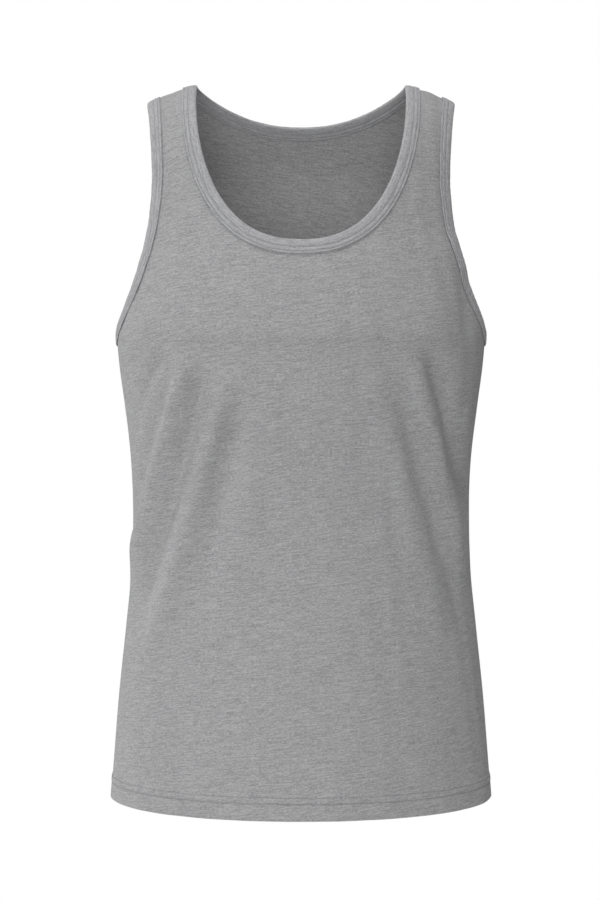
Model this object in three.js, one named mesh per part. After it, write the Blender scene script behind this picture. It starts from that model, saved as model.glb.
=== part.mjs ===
// A sleeveless scoop-neck tank top in grey heather jersey, filled out as it is when worn.
// Millimetres, +Z up, the front toward -Y. The origin is midway between the two straps,
// at the height of their undersides on the shoulder crest.

import * as THREE from 'three';

// Cloth and making
const CLOTH = 1.2;
const SEAM_GAP = 0.3;
const HEM_DEPTH = 23;
const HEM_STEP = 0.5;
const NECK_BAND = 12.9;
const ARM_BAND = 12.4;
const HEATHER_GREY = 0x9a9a9c;

// Neck opening, measured at the panels' cut edges
const NECK_HALF_WIDTH = 104.6;
const FRONT_NECK_DROP = 163.2;
const BACK_NECK_DROP = 31.4;
const FRONT_NECK_CURVE = { across: 2.37, down: 2.3 };
const BACK_NECK_CURVE = { across: 2.2, down: 1.0 };

// Armholes: the level of the lowest point, and how far they are cut into the front and back
// and, where the two meet, into the shoulder
const ARMHOLE_LEVEL = 240.3;
const ARMHOLE_STRAIGHT_LEVEL = 65;
const ARMHOLE_CURVE = 2.1;
const FRONT_ARMHOLE_TURN = 31.5;
const BACK_ARMHOLE_TURN = 29;
const CREST_ARMHOLE_TURN = 31.5;

// Shoulder crest: a flat middle that falls away toward the arms
const CREST_TOP = 6.2;
const CREST_FLAT = 92.7;
const CREST_FALL = 0.005;
const CREST_FADE_LEVEL = 230;
const SHOULDER_ROUND = 80;

// Hem: the front and the back dip a little below the side seams
const SIDE_LENGTH = 701;
const FRONT_HEM_DIP = 6.6;
const BACK_HEM_DIP = 3;

// The form, level by level below the shoulder crest: half the width at the side seams, the
// depth of the front and of the back from the side seams, and the squareness of the section
const LEVELS = [
  { level: 0, halfWidth: 174.5, front: 72, back: 72, square: 2.3 },
  { level: 25, halfWidth: 170.2, front: 75, back: 74.5, square: 2.3 },
  { level: 60, halfWidth: 166.8, front: 80, back: 80, square: 2.3 },
  { level: 95, halfWidth: 165.2, front: 87, back: 87, square: 2.3 },
  { level: 140, halfWidth: 167, front: 96, back: 94.5, square: 2.3 },
  { level: 190, halfWidth: 174, front: 107, back: 101, square: 2.3 },
  { level: 215, halfWidth: 178.6, front: 111.8, back: 103, square: 2.3 },
  { level: 240, halfWidth: 182.8, front: 114.8, back: 104, square: 2.3 },
  { level: 270, halfWidth: 181.2, front: 115.3, back: 103.6, square: 2.3 },
  { level: 310, halfWidth: 176, front: 112, back: 100.5, square: 2.28 },
  { level: 360, halfWidth: 170, front: 106.5, back: 94.5, square: 2.25 },
  { level: 410, halfWidth: 167.8, front: 103, back: 91, square: 2.22 },
  { level: 470, halfWidth: 168.6, front: 102.5, back: 93.5, square: 2.2 },
  { level: 530, halfWidth: 174.4, front: 104.5, back: 99.5, square: 2.15 },
  { level: 600, halfWidth: 181.6, front: 108, back: 105.5, square: 2.1 },
  { level: 660, halfWidth: 186.4, front: 110.5, back: 108, square: 2.06 },
  { level: 720, halfWidth: 191, front: 112.5, back: 109.5, square: 2.04 },
];

// Largest folds, each a line from its top to its bottom in the view of its panel: ridges
// have a positive rise, troughs a negative one, and bow bends the line sideways at mid length
const FRONT_FOLDS = [
  { topX: -111, topZ: -262, endX: -156, endZ: -468, bow: 2, rise: 3.2, width: 10 },
  { topX: -101, topZ: -275, endX: -151, endZ: -492, bow: 4, rise: -4.0, width: 10 },
  { topX: -78, topZ: -288, endX: -130, endZ: -505, bow: 5, rise: 3.2, width: 11 },
  { topX: -61, topZ: -305, endX: -98, endZ: -478, bow: 6, rise: -2.0, width: 14 },
  { topX: -46, topZ: -370, endX: -60, endZ: -500, bow: 0, rise: 1.1, width: 15 },
  { topX: 142, topZ: -272, endX: 156, endZ: -375, bow: 1, rise: -2.6, width: 10 },
  { topX: 106, topZ: -262, endX: 153, endZ: -452, bow: 4, rise: 3.9, width: 10 },
  { topX: 92, topZ: -300, endX: 141, endZ: -480, bow: -1, rise: -3.4, width: 10 },
  { topX: 80, topZ: -315, endX: 130, endZ: -505, bow: -3, rise: 2.2, width: 13 },
];
const BACK_FOLDS = [
  { topX: -118, topZ: -250, endX: -150, endZ: -430, bow: 3, rise: 2.7, width: 11 },
  { topX: -98, topZ: -262, endX: -140, endZ: -470, bow: 4, rise: -3.2, width: 11 },
  { topX: -72, topZ: -280, endX: -116, endZ: -490, bow: 5, rise: 2.3, width: 13 },
  { topX: 122, topZ: -256, endX: 152, endZ: -440, bow: -2, rise: 2.9, width: 11 },
  { topX: 99, topZ: -270, endX: 143, endZ: -478, bow: -4, rise: -2.9, width: 12 },
  { topX: 76, topZ: -292, endX: 112, endZ: -484, bow: -3, rise: 2.1, width: 13 },
];
const FOLD_END_FADE = 0.28;
const FOLD_SEAM_FADE_TURN = 14;

// Fineness of the walls: rows from the hem up to the armholes, more rows up to the neck,
// sections along half the neck, and columns of a half panel, or the width of a cell above them
const FINENESS = {
  front: { bodyRows: 9, chestRows: 5, neckSections: 20, bodyColumns: 26, cell: 12 },
  back: { bodyRows: 9, chestRows: 12, neckSections: 10, bodyColumns: 22, cell: 15 },
};

const FRONT = {
  name: 'front', toward: -1, folds: FRONT_FOLDS, neckDrop: FRONT_NECK_DROP,
  neckCurve: FRONT_NECK_CURVE, armholeTurn: FRONT_ARMHOLE_TURN, hemDip: FRONT_HEM_DIP,
};
const BACK = {
  name: 'back', toward: 1, folds: BACK_FOLDS, neckDrop: BACK_NECK_DROP,
  neckCurve: BACK_NECK_CURVE, armholeTurn: BACK_ARMHOLE_TURN, hemDip: BACK_HEM_DIP,
};

const { clamp, degToRad, lerp, smoothstep } = THREE.MathUtils;
const QUARTER = Math.PI / 2;

// A smooth curve through one column of the table of levels
function measure(column, level) {
  const last = LEVELS.length - 1;
  let low = 0;
  while (low < last - 1 && level > LEVELS[low + 1].level) low += 1;
  const slopeAt = (row) => {
    const above = LEVELS[Math.max(row - 1, 0)];
    const below = LEVELS[Math.min(row + 1, last)];
    return (below[column] - above[column]) / (below.level - above.level);
  };
  const start = LEVELS[low];
  const end = LEVELS[low + 1];
  const span = end.level - start.level;
  const t = clamp((level - start.level) / span, 0, 1);
  const rest = 1 - t;
  return start[column] * rest * rest * (1 + 2 * t) + end[column] * t * t * (3 - 2 * t)
    + span * (slopeAt(low) * t * rest * rest - slopeAt(low + 1) * t * t * rest);
}

// Height of the shoulder crest above the origin
function crestRise(x) {
  const beyond = Math.max(Math.abs(x) - CREST_FLAT, 0);
  return CREST_TOP - CREST_FALL * beyond * beyond;
}

function heightAt(x, level) {
  return crestRise(x) * (1 - smoothstep(level, 0, CREST_FADE_LEVEL)) - level;
}

function levelAt(x, z) {
  let level = Math.max(-z, 0);
  for (let pass = 0; pass < 12; pass += 1) level = Math.max(level + heightAt(x, level) - z, 0);
  return level;
}

// Reach is the length down the cloth from the crest: it rounds the shoulder, then runs straight
function reachOf(level) {
  if (level < SHOULDER_ROUND) return SHOULDER_ROUND * Math.acos(1 - level / SHOULDER_ROUND);
  return level + SHOULDER_ROUND * (QUARTER - 1);
}

function levelOf(reach) {
  const arch = Math.abs(reach) / SHOULDER_ROUND;
  if (arch < QUARTER) return SHOULDER_ROUND * (1 - Math.cos(arch));
  return Math.abs(reach) - SHOULDER_ROUND * (QUARTER - 1);
}

const signedPower = (value, power) => Math.sign(value) * Math.abs(value) ** power;

// A point of the plain form. Turn is 0 at the wearer's left side seam, a quarter at the centre
// line and a half turn at the other seam. Below zero, turn and reach run on past their seams.
function formPoint(panel, turn, reach) {
  const level = levelOf(reach);
  const power = 2 / measure('square', level);
  const arch = clamp(reach / SHOULDER_ROUND, -QUARTER, QUARTER);
  const x = measure('halfWidth', level) * signedPower(Math.cos(turn), power);
  const depth = measure(panel.name, level) * Math.sin(arch) * signedPower(Math.sin(turn), power);
  return new THREE.Vector3(x, panel.toward * depth, heightAt(x, level));
}

const PROBE = 1e-3;

function slopes(pointAt, turn, reach) {
  const around = pointAt(turn + PROBE, reach).sub(pointAt(turn - PROBE, reach));
  const down = pointAt(turn, reach + PROBE * 100).sub(pointAt(turn, reach - PROBE * 100));
  return {
    around: around.divideScalar(2 * PROBE),
    down: down.divideScalar(200 * PROBE),
  };
}

function outwardNormal(panel, pointAt, turn, reach) {
  const { around, down } = slopes(pointAt, turn, reach);
  return around.cross(down).normalize().multiplyScalar(-panel.toward);
}

// Rise of the folds over the plain form, fading out at their ends and at the side seams
function foldRise(panel, turn, at) {
  let rise = 0;
  for (const fold of panel.folds) {
    const along = (fold.topZ - at.z) / (fold.topZ - fold.endZ);
    if (along <= 0 || along >= 1) continue;
    const bend = fold.bow * Math.sin(along * Math.PI);
    const aside = (at.x - lerp(fold.topX, fold.endX, along) - bend) / fold.width;
    const ends = smoothstep(Math.min(along, 1 - along), 0, FOLD_END_FADE);
    rise += fold.rise * ends * Math.exp(-aside * aside);
  }
  const fromSeam = Math.min(turn, Math.PI - turn);
  return rise * smoothstep(fromSeam, 0, degToRad(FOLD_SEAM_FADE_TURN));
}

function foldedPoint(panel, turn, reach) {
  const plain = formPoint(panel, turn, reach);
  const rise = foldRise(panel, turn, plain);
  if (rise === 0) return plain;
  const plainAt = (t, r) => formPoint(panel, t, r);
  return plain.addScaledVector(outwardNormal(panel, plainAt, turn, reach), rise);
}

// The cloth's outer point and outward direction, held half a gap away from the seams
function clothPoint(panel, { turn, reach }) {
  const pointAt = (t, r) => foldedPoint(panel, t, r);
  const point = pointAt(turn, reach);
  const normal = outwardNormal(panel, pointAt, turn, reach);
  point.y = panel.toward * Math.max(panel.toward * point.y, SEAM_GAP / 2);
  return { point, normal };
}

// Walks over the form from a place by a distance, in a direction that is kept on the surface
function walk(panel, place, direction, distance) {
  const steps = 4;
  const pointAt = (t, r) => formPoint(panel, t, r);
  let { turn, reach } = place;
  for (let step = 0; step < steps; step += 1) {
    const { around, down } = slopes(pointAt, turn, reach);
    const aa = around.dot(around);
    const ad = around.dot(down);
    const dd = down.dot(down);
    const a = around.dot(direction);
    const d = down.dot(direction);
    const size = distance / steps / (aa * dd - ad * ad);
    turn += (a * dd - d * ad) * size;
    reach += (d * aa - a * ad) * size;
  }
  return { turn, reach };
}

// Places at equal spacing along a curve that a function gives for 0 to 1
function evenPlaces(panel, placeAt, count) {
  const fine = 400;
  const places = Array.from({ length: fine + 1 }, (_, i) => placeAt(i / fine));
  const lengths = [0];
  for (let i = 1; i <= fine; i += 1) {
    const from = formPoint(panel, places[i - 1].turn, places[i - 1].reach);
    const to = formPoint(panel, places[i].turn, places[i].reach);
    lengths.push(lengths[i - 1] + from.distanceTo(to));
  }
  return Array.from({ length: count + 1 }, (_, k) => {
    const wanted = (lengths[fine] * k) / count;
    const next = Math.max(lengths.findIndex((length) => length >= wanted - 1e-9), 1);
    const part = (wanted - lengths[next - 1]) / (lengths[next] - lengths[next - 1]);
    return placeAt((next - 1 + clamp(part, 0, 1)) / fine);
  });
}

// Neck edge from the centre line up to the crest
function neckPlace(panel, t) {
  const turn = QUARTER * (1 - t);
  const x = NECK_HALF_WIDTH * Math.cos(turn) ** (2 / panel.neckCurve.across);
  const drop = panel.neckDrop * Math.sin(turn) ** (2 / panel.neckCurve.down);
  const level = t === 1 ? 0 : levelAt(x, crestRise(NECK_HALF_WIDTH) - drop);
  if (t === 0) return { turn: QUARTER, reach: reachOf(level) };
  const share = x / measure('halfWidth', level);
  return { turn: Math.acos(share ** (measure('square', level) / 2)), reach: reachOf(level) };
}

// Armhole edge from the side seam round and up to the crest
function armholePlace(panel, t) {
  const widest = degToRad(panel.armholeTurn);
  const roundPart = 0.6;
  if (t > roundPart) {
    const rest = (1 - t) / (1 - roundPart);
    const turn = lerp(degToRad(CREST_ARMHOLE_TURN), widest, smoothstep(rest, 0, 1));
    return { turn, reach: reachOf(ARMHOLE_STRAIGHT_LEVEL) * rest };
  }
  const swing = (t / roundPart) * QUARTER;
  const drop = (ARMHOLE_LEVEL - ARMHOLE_STRAIGHT_LEVEL) * Math.cos(swing) ** (2 / ARMHOLE_CURVE);
  return { turn: widest * Math.sin(swing), reach: reachOf(ARMHOLE_STRAIGHT_LEVEL + drop) };
}

// An edge that a band is sewn to: at each section its place, the place under the band's free
// edge, and the direction that leaves the cloth. Hand is 1 where the opening lies to the left
// of the way from the edge's start to the crest, seen from outside the front, and else -1
function boundEdge(panel, { placeAt, count, band, start, hand }) {
  const places = evenPlaces(panel, (t) => placeAt(panel, t), count);
  const points = places.map(({ turn, reach }) => formPoint(panel, turn, reach));
  const plainAt = (t, r) => formPoint(panel, t, r);
  return places.map((place, i) => {
    const along = points[Math.min(i + 1, count)].clone().sub(points[Math.max(i - 1, 0)]);
    if (i === 0) along.copy(start);
    if (i === count) along.set(0, -panel.toward, 0);
    const away = outwardNormal(panel, plainAt, place.turn, place.reach).cross(along).normalize();
    away.multiplyScalar(-panel.toward * hand);
    const under = walk(panel, place, away.clone().negate(), band);
    if (i === 0) under.turn = place.turn;
    if (i === count) under.reach = 0;
    return { panel, place, under, away };
  });
}

function panelEdges(panel) {
  const { chestRows, neckSections } = FINENESS[panel.name];
  return {
    neck: boundEdge(panel, {
      placeAt: neckPlace,
      count: neckSections,
      band: NECK_BAND,
      start: new THREE.Vector3(1, 0, 0),
      hand: 1,
    }),
    armhole: boundEdge(panel, {
      placeAt: armholePlace,
      count: neckSections + chestRows,
      band: ARM_BAND,
      start: new THREE.Vector3(0, panel.toward, 0),
      hand: -1,
    }),
  };
}

// Which diagonal splits the cloth between two sections of an edge; the band uses the same one
function splitsForward(here, next) {
  const at = (section, key) => formPoint(section.panel, section[key].turn, section[key].reach);
  const forward = at(here, 'place').distanceTo(at(next, 'under'));
  const backward = at(here, 'under').distanceTo(at(next, 'place'));
  return forward < backward;
}

// A cloth surface of triangles whose corners are places on one panel
class Surface {
  constructor(panel) {
    this.panel = panel;
    this.places = [];
    this.known = new Map();
    this.triangles = [];
    this.mirrored = false;
  }

  corner({ turn, reach }) {
    const place = { turn: this.mirrored ? Math.PI - turn : turn, reach };
    const key = `${place.turn.toFixed(7)} ${place.reach.toFixed(5)}`;
    if (!this.known.has(key)) {
      this.known.set(key, this.places.length);
      this.places.push(place);
    }
    return this.known.get(key);
  }

  triangle(a, b, c) {
    const corners = [a, b, c].map((place) => this.corner(place));
    if (this.mirrored) corners.reverse();
    this.triangles.push(corners);
  }

  // Fills the band between two rows, which may differ in their number of places
  fill(lower, upper) {
    let low = 0;
    let high = 0;
    while (low < lower.length - 1 || high < upper.length - 1) {
      const lowNext = (low + 1) / (lower.length - 1);
      const highNext = (high + 1) / (upper.length - 1);
      if (lowNext <= highNext) {
        this.triangle(lower[low], lower[low + 1], upper[high]);
        low += 1;
      } else {
        this.triangle(lower[low], upper[high + 1], upper[high]);
        high += 1;
      }
    }
  }

  // Fills the strip that a band will cover, between a panel's edge and the band's free edge
  fillStrip(edge, edgeIsOuter) {
    for (let i = 0; i < edge.length - 1; i += 1) {
      const here = edge[i];
      const next = edge[i + 1];
      const [a, b, c, d] = edgeIsOuter
        ? [here.under, here.place, next.place, next.under]
        : [here.place, here.under, next.under, next.place];
      if (splitsForward(here, next) === edgeIsOuter) {
        this.triangle(a, b, d);
        this.triangle(b, c, d);
      } else {
        this.triangle(a, b, c);
        this.triangle(a, c, d);
      }
    }
  }
}

// How much higher the row under the armhole is at the centre line than at the side seam
const CHEST_ROW_LIFT = 3;

// Rows of a half panel from the hem to the crest, each from its inner to its outer end
function halfPanelRows(panel, edges) {
  const { bodyRows, chestRows, bodyColumns, cell } = FINENESS[panel.name];
  const innerTop = edges.neck[0].under.reach;
  const outerTop = edges.armhole[0].under.reach;
  const innerHem = reachOf(SIDE_LENGTH + panel.hemDip);
  const outerHem = reachOf(SIDE_LENGTH);
  const innerChest = outerTop - CHEST_ROW_LIFT;
  const starts = [];
  const ends = [];
  for (const up of [0, HEM_DEPTH - HEM_STEP, HEM_DEPTH]) {
    starts.push({ turn: QUARTER, reach: innerHem - up });
    ends.push({ turn: 0, reach: outerHem - up });
  }
  for (let row = 1; row <= bodyRows; row += 1) {
    const t = row / bodyRows;
    starts.push({ turn: QUARTER, reach: lerp(innerHem - HEM_DEPTH, innerChest, t) });
    ends.push({ turn: 0, reach: lerp(outerHem - HEM_DEPTH, outerTop, t) });
  }
  for (let row = 1; row < chestRows; row += 1) {
    starts.push({ turn: QUARTER, reach: lerp(innerChest, innerTop, row / chestRows) });
  }
  starts.push(...edges.neck.map((section) => section.under));
  ends.push(...edges.armhole.slice(1).map((section) => section.under));
  const lastBodyRow = bodyRows + 2;
  return starts.map((start, row) => {
    const alongRow = (s) => ({
      turn: lerp(start.turn, ends[row].turn, s),
      reach: lerp(start.reach, ends[row].reach, 1 - Math.cos(QUARTER * s)),
    });
    const [from, middle, to] = [0, 0.5, 1].map(alongRow)
      .map(({ turn, reach }) => formPoint(panel, turn, reach));
    const length = from.distanceTo(middle) + middle.distanceTo(to);
    const columns = row <= lastBodyRow ? bodyColumns : Math.max(Math.round(length / cell), 2);
    return Array.from({ length: columns + 1 }, (_, i) => alongRow(i / columns));
  });
}

function panelSurface(panel, edges) {
  const surface = new Surface(panel);
  const rows = halfPanelRows(panel, edges);
  for (const mirrored of [false, true]) {
    surface.mirrored = mirrored;
    for (let row = 0; row < rows.length - 1; row += 1) surface.fill(rows[row], rows[row + 1]);
    surface.fillStrip(edges.neck, false);
    surface.fillStrip(edges.armhole, true);
  }
  return surface;
}

// The cloth is two layers thick in the hem, which is turned up inside
function thicknessAt(panel, { turn, reach }) {
  const up = reachOf(SIDE_LENGTH + panel.hemDip * Math.sin(turn)) - reach;
  return up < HEM_DEPTH - HEM_STEP / 2 ? 2 * CLOTH : CLOTH;
}

// Turns a surface into a closed wall: outer face, inner face and a rim along each free edge
function wallGeometry(surface) {
  const { panel, places, triangles } = surface;
  const count = places.length;
  const outer = [];
  const inner = [];
  for (const place of places) {
    const { point, normal } = clothPoint(panel, place);
    outer.push(...point.toArray());
    inner.push(...point.addScaledVector(normal, -thicknessAt(panel, place)).toArray());
  }
  const index = [];
  const edgeUse = new Map();
  for (const [a, b, c] of triangles) {
    const corners = panel.toward < 0 ? [a, b, c] : [a, c, b];
    index.push(...corners);
    index.push(corners[0] + count, corners[2] + count, corners[1] + count);
    for (let side = 0; side < 3; side += 1) {
      const from = corners[side];
      const to = corners[(side + 1) % 3];
      const reverse = `${to} ${from}`;
      if (edgeUse.has(reverse)) edgeUse.delete(reverse);
      else edgeUse.set(`${from} ${to}`, [from, to]);
    }
  }
  for (const [from, to] of edgeUse.values()) {
    index.push(to, from, from + count, to, from + count, to + count);
  }
  return solidGeometry([...outer, ...inner], index);
}

function solidGeometry(positions, index) {
  const geometry = new THREE.BufferGeometry();
  geometry.setAttribute('position', new THREE.Float32BufferAttribute(positions, 3));
  geometry.setIndex(index);
  geometry.computeVertexNormals();
  return geometry;
}

// The free edges stay back from the line where the cloth bends on, by this share of the band
const FREE_EDGE_BACK = 0.06;

// The band's section, folded over the cloth's edge: how far out of the cloth's outer face each
// corner lies, and how far past its cut edge, or null at the free edges of the legs
const OUT = SEAM_GAP + CLOTH;
const BAND_SECTION = [
  { out: OUT, past: null },
  { out: OUT, past: SEAM_GAP },
  { out: OUT / 2, past: OUT },
  { out: -CLOTH - OUT / 2, past: OUT },
  { out: -CLOTH - OUT, past: SEAM_GAP },
  { out: -CLOTH - OUT, past: null },
  { out: -CLOTH - SEAM_GAP, past: null },
  { out: -CLOTH - SEAM_GAP, past: SEAM_GAP },
  { out: SEAM_GAP, past: SEAM_GAP },
  { out: SEAM_GAP, past: null },
];

function bandSection({ panel, place, under, away, mirrored }) {
  const flip = (spot) => ({ turn: mirrored ? Math.PI - spot.turn : spot.turn, reach: spot.reach });
  const edge = clothPoint(panel, flip(place));
  const free = clothPoint(panel, flip(under));
  free.point.lerp(edge.point, FREE_EDGE_BACK);
  const past = away.clone();
  if (mirrored) past.x *= -1;
  return BAND_SECTION.map((corner) => {
    if (corner.past === null) return free.point.clone().addScaledVector(free.normal, corner.out);
    const point = edge.point.clone().addScaledVector(edge.normal, corner.out);
    return point.addScaledVector(past, corner.past);
  });
}

// Sews the sections of a closed band together; reversed is for a ring that runs the other way
function bandGeometry(sections, reversed) {
  const corners = BAND_SECTION.length;
  const positions = sections.flatMap((section) => bandSection(section).flatMap((p) => p.toArray()));
  const index = [];
  sections.forEach((section, i) => {
    const after = (i + 1) % sections.length;
    const forward = splitsForward(section, sections[after]);
    for (let k = 0; k < corners; k += 1) {
      const k2 = (k + 1) % corners;
      const a = i * corners + k;
      const b = i * corners + k2;
      const c = after * corners + k2;
      const d = after * corners + k;
      // On a leg, the diagonal that leaves the edge's corner has to match the cloth's
      const startsAtEdge = BAND_SECTION[k].past !== null;
      const triangles = forward === startsAtEdge ? [a, b, c, a, c, d] : [a, b, d, b, c, d];
      if (reversed) triangles.reverse();
      index.push(...triangles);
    }
  });
  return solidGeometry(positions, index);
}

const mirror = (section) => ({ ...section, mirrored: true });

const frontEdges = panelEdges(FRONT);
const backEdges = panelEdges(BACK);

// The neck band runs from the front's centre up one side, round the back and down the other
function neckBandSections() {
  const front = frontEdges.neck;
  const back = backEdges.neck;
  const leftBack = back.slice().reverse();
  const rightBack = back.slice(1).map(mirror);
  const rightFront = front.slice(1).reverse().map(mirror);
  return [...front, ...leftBack, ...rightBack, ...rightFront];
}

// An armhole band runs up the front from the side seam and down the back
function armholeBandSections(mirrored) {
  const loop = [...frontEdges.armhole, ...backEdges.armhole.slice().reverse()];
  return mirrored ? loop.map(mirror) : loop;
}

function jerseyMesh(name, geometry) {
  const jersey = new THREE.MeshStandardMaterial({
    color: HEATHER_GREY, roughness: 0.95, metalness: 0,
  });
  const mesh = new THREE.Mesh(geometry, jersey);
  mesh.name = name;
  return mesh;
}

const tankTop = new THREE.Group();
tankTop.add(
  jerseyMesh('front_panel', wallGeometry(panelSurface(FRONT, frontEdges))),
  jerseyMesh('back_panel', wallGeometry(panelSurface(BACK, backEdges))),
  jerseyMesh('neck_binding', bandGeometry(neckBandSections(), true)),
  jerseyMesh('armhole_binding_left', bandGeometry(armholeBandSections(false), false)),
  jerseyMesh('armhole_binding_right', bandGeometry(armholeBandSections(true), true)),
);

export default tankTop;
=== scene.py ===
"""A sleeveless scoop-neck tank top in grey heather jersey, filled out as it is when worn."""

import math
from collections import namedtuple

import bmesh
import bpy
import numpy as np
from mathutils import Matrix, Vector


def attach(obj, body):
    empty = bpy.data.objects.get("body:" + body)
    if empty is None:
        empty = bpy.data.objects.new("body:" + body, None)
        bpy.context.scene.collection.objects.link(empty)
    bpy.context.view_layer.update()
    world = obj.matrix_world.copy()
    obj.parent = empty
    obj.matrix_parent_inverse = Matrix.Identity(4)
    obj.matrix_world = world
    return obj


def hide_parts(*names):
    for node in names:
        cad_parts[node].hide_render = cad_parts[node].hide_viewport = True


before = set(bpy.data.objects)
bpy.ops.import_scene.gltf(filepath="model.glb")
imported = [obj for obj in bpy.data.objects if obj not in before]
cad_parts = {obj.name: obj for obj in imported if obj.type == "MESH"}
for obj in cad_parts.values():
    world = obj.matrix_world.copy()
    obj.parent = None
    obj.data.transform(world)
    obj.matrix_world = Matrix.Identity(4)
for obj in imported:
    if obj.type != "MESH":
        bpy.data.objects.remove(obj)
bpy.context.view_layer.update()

# Sizes are in millimetres until they reach a mesh. The front is toward -Y and turn runs
# round a panel: 0 at the wearer's left side seam, a quarter at the centre line. Reach is the
# length down the cloth from the shoulder crest.
MM = 0.001
QUARTER = math.pi / 2

# Cloth and making. The allowances that show inside are shorter than the cut's, and are depths
# behind the cloth.
CLOTH = 0.9
CUT_ALLOWANCE = 6
SEAM_HALF_GAP = 0.5
SIDE_ALLOWANCE = (1.6, 3.4, 5.6)
HEM_ALLOWANCE = 0.8
SHOULDER_ALLOWANCE = (1.2, 2.2)
HEM_DEPTH = 23
NECK_BAND = 12.9
ARM_BAND = 12.4
BAND_FOLD = 1.5
STITCH_PITCH = 2.6
# Drawn coarser than the real thread of 0.3 mm, which would be too fine to see
THREAD = 0.56
NEEDLE_ROWS = (2.1, 6.3)
HEM_ROWS = (16.0, 21.5)
COURSE_SKEW = 0.14

# Neck and armholes at the panels' cut edges
NECK_HALF_WIDTH = 104.6
ARMHOLE_LEVEL = 240.3
ARMHOLE_STRAIGHT_LEVEL = 65
ARMHOLE_CURVE = 2.1
ARMHOLE_ROUND_PART = 0.6
CREST_ARMHOLE_TURN = math.radians(31.5)

# Shoulder crest and length
CREST_TOP = 6.2
CREST_FLAT = 92.7
CREST_FALL = 0.005
CREST_FADE_LEVEL = 230
SHOULDER_ROUND = 80
SIDE_LENGTH = 701

# The form, level by level below the crest
LEVEL_COLUMNS = ("level", "half_width", "front", "back", "square")
LEVELS = np.array(
    [
        (0, 174.5, 72, 72, 2.3),
        (25, 170.2, 75, 74.5, 2.3),
        (60, 166.8, 80, 80, 2.3),
        (95, 165.2, 87, 87, 2.3),
        (140, 167, 96, 94.5, 2.3),
        (190, 174, 107, 101, 2.3),
        (215, 178.6, 111.8, 103, 2.3),
        (240, 182.8, 114.8, 104, 2.3),
        (270, 181.2, 115.3, 103.6, 2.3),
        (310, 176, 112, 100.5, 2.28),
        (360, 170, 106.5, 94.5, 2.25),
        (410, 167.8, 103, 91, 2.22),
        (470, 168.6, 102.5, 93.5, 2.2),
        (530, 174.4, 104.5, 99.5, 2.15),
        (600, 181.6, 108, 105.5, 2.1),
        (660, 186.4, 110.5, 108, 2.06),
        (720, 191, 112.5, 109.5, 2.04),
    ]
)

# Folds, each a line from its top to its bottom as its panel is looked at: a ridge has a
# positive rise, a trough a negative one, and bow bends the line sideways at mid length
Fold = namedtuple("Fold", "top_x top_z end_x end_z bow rise width")
FRONT_FOLDS = (
    Fold(-104, -248, -182, -520, 0, 4.8, 8),
    Fold(-86, -258, -174, -560, 3, -6.4, 9),
    Fold(-66, -270, -159, -590, 4, 5.8, 11),
    Fold(-53, -286, -112, -560, 3, -3.4, 12),
    Fold(-43, -350, -72, -540, 0, 1.4, 15),
    Fold(122, -246, 170, -430, 0, -6.8, 12),
    Fold(103, -252, 165, -500, 3, 4.6, 10),
    Fold(88, -285, 168, -555, -1, -4.0, 10),
    Fold(76, -300, 150, -580, -3, 2.8, 13),
)
BACK_FOLDS = (
    Fold(-118, -250, -150, -430, 3, 2.7, 11),
    Fold(-98, -262, -140, -470, 4, -3.2, 11),
    Fold(-72, -280, -116, -490, 5, 2.3, 13),
    Fold(122, -256, 152, -440, -2, 2.9, 11),
    Fold(99, -270, 143, -478, -4, -2.9, 12),
    Fold(76, -292, 112, -484, -3, 2.1, 13),
)

# Small creases that only the looks have
FRONT_CREASES = (
    Fold(-131, -260, -163, -318, 0, -3.4, 6),
    Fold(-147, -256, -169, -302, 0, 1.4, 5),
    Fold(-152, -248, -168, -350, 0, -3.0, 14),
    Fold(-126, -284, -182, -470, 0, -3.2, 8),
    Fold(134, -140, 130, -300, 0, 3.2, 28),
    Fold(160, -180, 157, -268, 0, -1.5, 9),
    Fold(-160, -450, -136, -590, 3, -0.7, 9),
    Fold(158, -450, 139, -600, -4, -0.6, 10),
    Fold(-30, -395, -42, -520, 2, -0.5, 12),
    Fold(46, -380, 62, -520, -2, -0.6, 13),
)
BACK_CREASES = (
    Fold(-146, -262, -160, -352, 2, -1.0, 6),
    Fold(148, -258, 161, -345, -2, -1.0, 6),
    Fold(-34, -180, -52, -330, 4, 0.7, 13),
    Fold(28, -170, 44, -300, -3, -0.6, 12),
    Fold(-10, -360, -16, -500, 3, -0.6, 14),
    Fold(38, -380, 52, -540, -3, 0.5, 14),
)
FOLD_TOP_FADE = 0.2
FOLD_END_FADE = 0.3
FOLD_DEEPER = 1.25
FOLD_SEAM_FADE = math.radians(14)

# The step under the chest starts at the first level, is full between the next two and has gone
# at the last. Sideways it is full up to the first half width and has gone at the second.
CHEST_STEP_LEVELS = (247, 261, 265, 335)
CHEST_STEP_HALF_WIDTHS = (95, 150)

# A panel's neck corner is the share of the neck's edge where its two patches meet, and grain
# moves its pattern so that front and back don't show the same streaks
Curve = namedtuple("Curve", "across down")
Panel = namedtuple(
    "Panel",
    "name toward folds neck_drop neck_curve armhole_turn hem_dip neck_corner grain chest_step",
)
FRONT = Panel(
    name="front",
    toward=-1,
    folds=FRONT_FOLDS + FRONT_CREASES,
    neck_drop=163.2,
    neck_curve=Curve(2.37, 2.3),
    armhole_turn=math.radians(31.5),
    hem_dip=6.6,
    neck_corner=0.44,
    grain=0.0,
    chest_step=2.4,
)
BACK = Panel(
    name="back",
    toward=1,
    folds=BACK_FOLDS + BACK_CREASES,
    neck_drop=31.4,
    neck_curve=Curve(2.2, 1.0),
    armhole_turn=math.radians(29),
    hem_dip=3,
    neck_corner=0.72,
    grain=0.9,
    chest_step=0,
)


def mix(start, end, share):
    return start + (end - start) * share


def smoothstep(value, low, high):
    t = np.clip((value - low) / (high - low), 0, 1)
    return t * t * (3 - 2 * t)


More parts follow.
